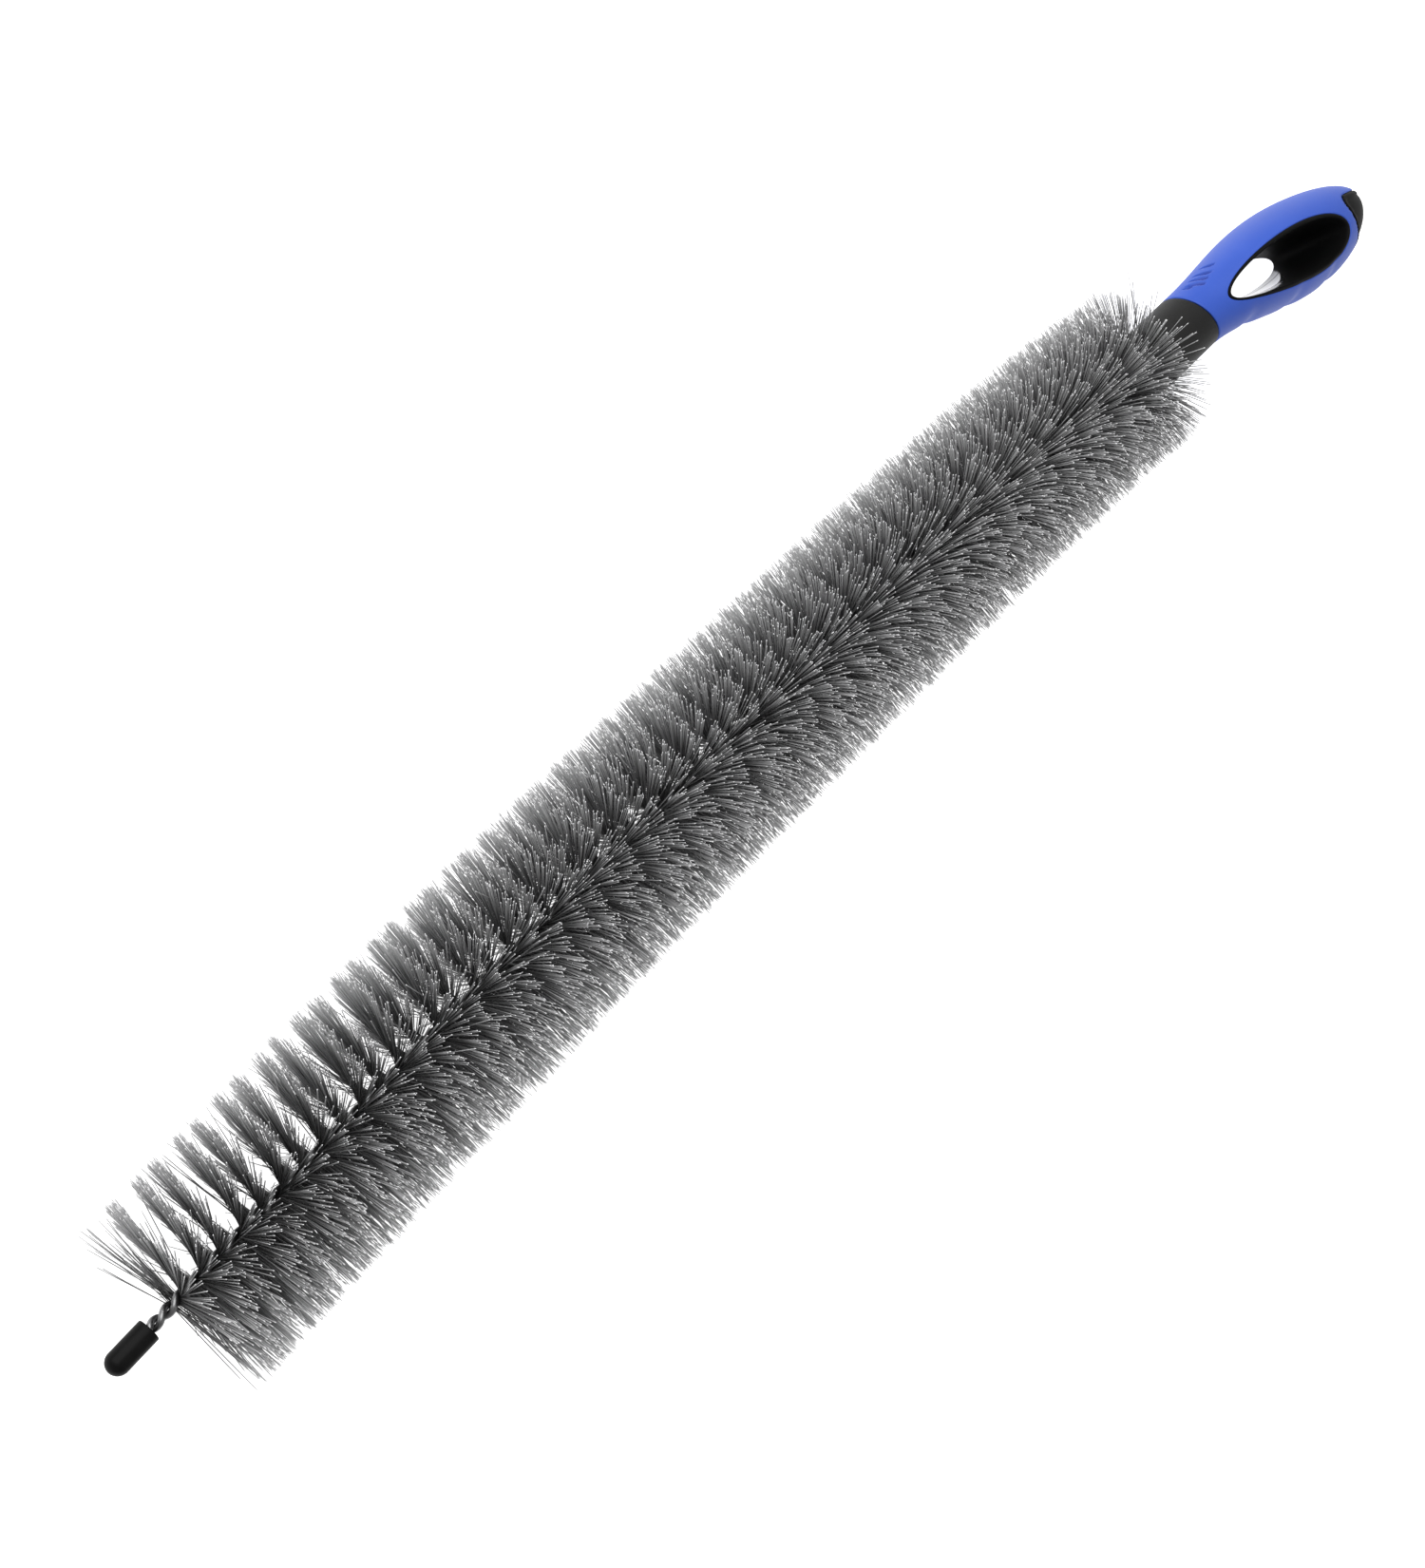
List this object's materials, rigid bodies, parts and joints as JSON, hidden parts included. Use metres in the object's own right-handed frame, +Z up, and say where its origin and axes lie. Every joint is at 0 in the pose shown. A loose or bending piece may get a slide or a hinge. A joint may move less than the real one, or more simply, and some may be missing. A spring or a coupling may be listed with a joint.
{
  "type": "wheel brush",
  "caption": "Long twisted-wire wheel brush with a spiral bristle head, a push-on tip cap and a loop handle with a hard core under a soft grip.",
  "frame": {"origin": "middle of the brush's footprint, on the plane that the bristles rest on", "axes": "+X along the stem from the capped tip to the handle, +Z up and square to the handle's window, +Y towards the side that the stem bows to"},
  "size_m": [0.5346, 0.0596, 0.0536],
  "materials": {
    "cap_vinyl": "satin black vinyl",
    "steel_wire": "drawn zinc-plated steel wire",
    "bristle_nylon": "grey nylon filaments with pale cut tips",
    "core_plastic": "fine-grained black moulded plastic",
    "grip_rubber": "matte soft-touch blue rubber"
  },
  "bodies": {
    "brush": {"stem_wire_a": "steel_wire", "stem_wire_b": "steel_wire", "handle_core": "core_plastic", "grip": "grip_rubber", "bristle_turn_01": "bristle_nylon", "bristle_turn_02": "bristle_nylon", "bristle_turn_03": "bristle_nylon", "bristle_turn_04": "bristle_nylon", "bristle_turn_05": "bristle_nylon", "bristle_turn_06": "bristle_nylon", "bristle_turn_07": "bristle_nylon", "bristle_turn_08": "bristle_nylon", "bristle_turn_09": "bristle_nylon", "bristle_turn_10": "bristle_nylon", "bristle_turn_11": "bristle_nylon", "bristle_turn_12": "bristle_nylon", "bristle_turn_13": "bristle_nylon", "bristle_turn_14": "bristle_nylon", "bristle_turn_15": "bristle_nylon", "bristle_turn_16": "bristle_nylon", "bristle_turn_17": "bristle_nylon", "bristle_turn_18": "bristle_nylon", "bristle_turn_19": "bristle_nylon", "bristle_turn_20": "bristle_nylon", "bristle_turn_21": "bristle_nylon", "bristle_turn_22": "bristle_nylon", "bristle_turn_23": "bristle_nylon", "bristle_turn_24": "bristle_nylon", "bristle_turn_25": "bristle_nylon", "bristle_turn_26": "bristle_nylon", "bristle_turn_27": "bristle_nylon", "bristle_turn_28": "bristle_nylon", "bristle_turn_29": "bristle_nylon"},
    "cap": {"tip_cap": "cap_vinyl"}
  },
  "joints": [
    {"name": "cap_slide", "type": "slide", "parent": "brush", "child": "cap", "axis": [-0.999, -0.0447, 0], "range_m": [0, 0.016]}
  ]
}
